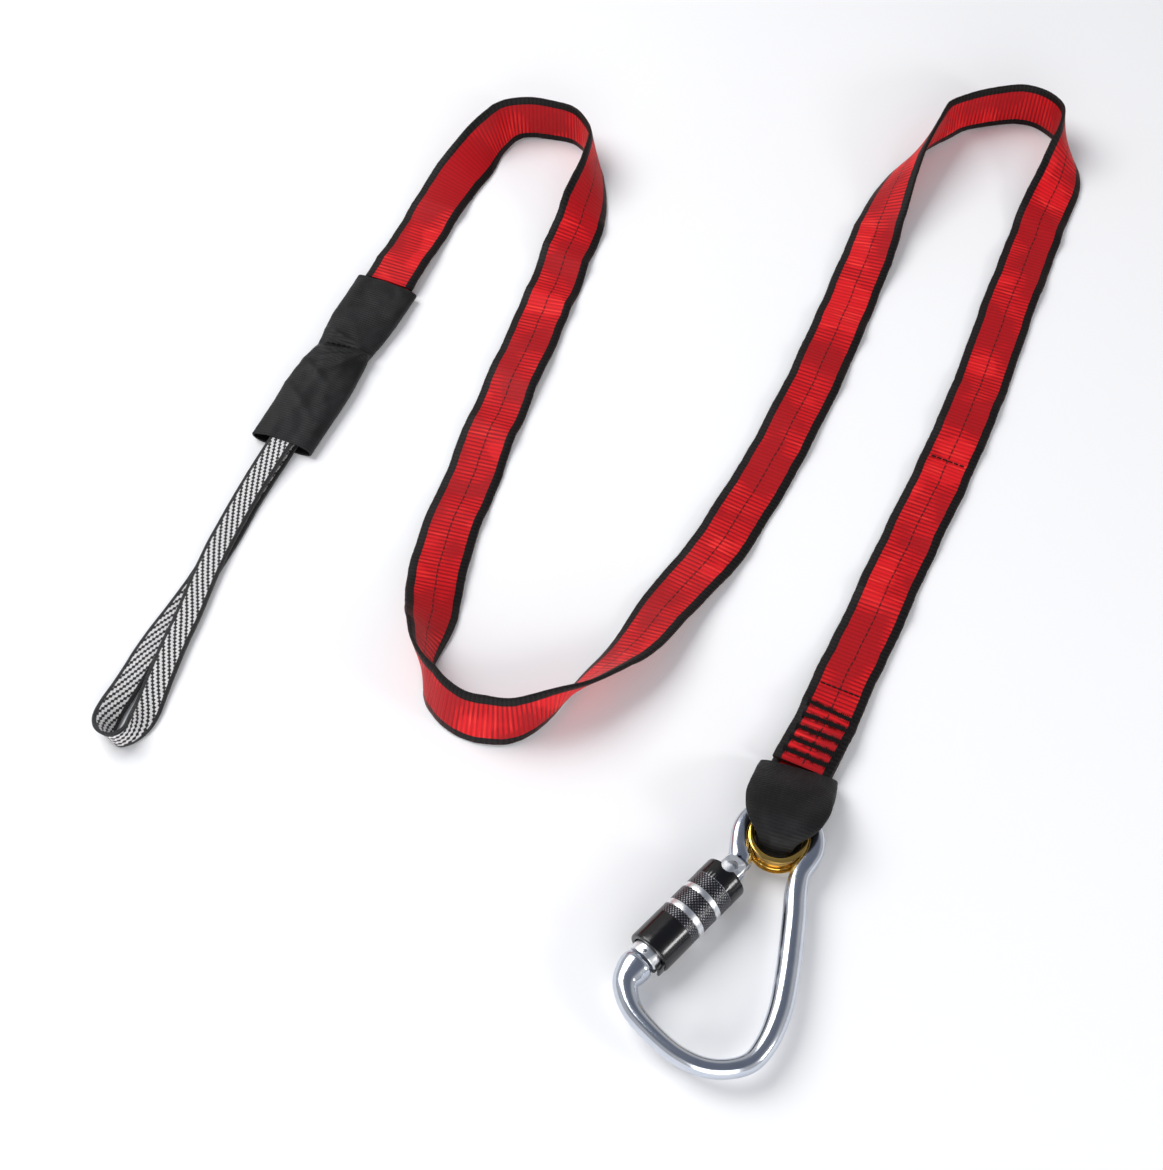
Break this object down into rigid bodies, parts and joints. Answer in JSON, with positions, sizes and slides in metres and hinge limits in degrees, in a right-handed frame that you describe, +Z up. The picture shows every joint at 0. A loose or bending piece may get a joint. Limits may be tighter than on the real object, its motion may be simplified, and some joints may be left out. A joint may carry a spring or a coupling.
{
  "type": "tool lanyard",
  "caption": "Flat webbing tether with a cinching tool loop at one end and, at the other, a captive-eye auto-locking carabiner with a flanged bush.",
  "frame": {"origin": "on the floor under the middle of the box round everything but the free strap and its stitches", "axes": "+Z up out of the floor the lanyard lies on; +Y from the carabiner's closed bottom towards the join sleeve; +X from the tool loop towards the carabiner"},
  "size_m": [0.4589, 0.5256, 0.0252],
  "materials": {
    "red_webbing": "woven webbing, matte",
    "checked_webbing": "black and white woven webbing, matte",
    "black_fabric": "woven, matte",
    "black_thread": "twisted thread",
    "polished_alloy": "forged and polished",
    "gold_anodised": "gold anodised, bright",
    "black_anodised": "black anodised, glossy, knurled",
    "spring_steel": "plain steel"
  },
  "bodies": {
    "lanyard": {"strap_webbing": "red_webbing", "strap_eye_fold": "red_webbing", "strap_sewn_end": "red_webbing", "eye_wear_cover": "black_fabric", "bar_tack_1": "black_thread", "bar_tack_2": "black_thread", "bar_tack_3": "black_thread", "bar_tack_4": "black_thread", "bar_tack_5": "black_thread", "end_stitch_row": "black_thread", "mid_stitch_row": "black_thread", "join_sleeve": "black_fabric", "join_cross_stitch": "black_thread", "join_bar_tack_1": "black_thread", "join_bar_tack_2": "black_thread", "tool_loop": "checked_webbing"},
    "carabiner": {"carabiner_body": "polished_alloy", "gate_hinge_rivet": "spring_steel"},
    "bush": {"bush_upper_half": "gold_anodised", "bush_lower_half": "gold_anodised"},
    "gate": {"gate_arm": "polished_alloy", "gate_latch_pin": "spring_steel", "sleeve_guide_pin": "spring_steel", "sleeve_spring_seat": "spring_steel", "sleeve_retaining_clip": "spring_steel", "gate_spring": "spring_steel", "sleeve_spring": "spring_steel"},
    "plunger": {"gate_plunger": "spring_steel"},
    "slide_collar": {"sleeve_slide_collar": "spring_steel"},
    "lock_sleeve": {"locking_sleeve": "black_anodised"}
  },
  "joints": [
    {"name": "eye_swing", "type": "hinge", "parent": "lanyard", "child": "carabiner", "pos_m": [0.1257, -0.1082, 0.0092], "axis": [0, 0, 1], "range_deg": [-50, 50]},
    {"name": "bush_spin", "type": "hinge", "parent": "carabiner", "child": "bush", "pos_m": [0.1257, -0.1082, 0.0092], "axis": [0, 0, 1], "continuous": true},
    {"name": "gate_hinge", "type": "hinge", "parent": "carabiner", "child": "gate", "pos_m": [0.10707, -0.12102, 0.0092], "axis": [0, 0, 1], "range_deg": [0, 30], "stiffness_Nm_per_rad": 0.2, "springref_deg": -34.38},
    {"name": "plunger_slide", "type": "slide", "parent": "gate", "child": "plunger", "axis": [-0.6934, -0.7206, 0], "range_m": [0, 0.0016], "deforming": ["gate_spring"]},
    {"name": "sleeve_slide", "type": "slide", "parent": "gate", "child": "slide_collar", "axis": [0.6934, 0.7206, 0], "range_m": [0, 0.003], "stiffness_N_per_m": 800, "springref_m": -0.006, "deforming": ["sleeve_spring"]},
    {"name": "sleeve_twist", "type": "hinge", "parent": "slide_collar", "child": "lock_sleeve", "pos_m": [0.10707, -0.12102, 0.0092], "axis": [-0.6934, -0.7206, 0], "range_deg": [0, 90], "stiffness_Nm_per_rad": 0.02, "springref_deg": -45.84}
  ],
  "couplings": [
    {"joint": "plunger_slide", "follows": "gate_hinge", "m_per_rad": 0.002865}
  ]
}
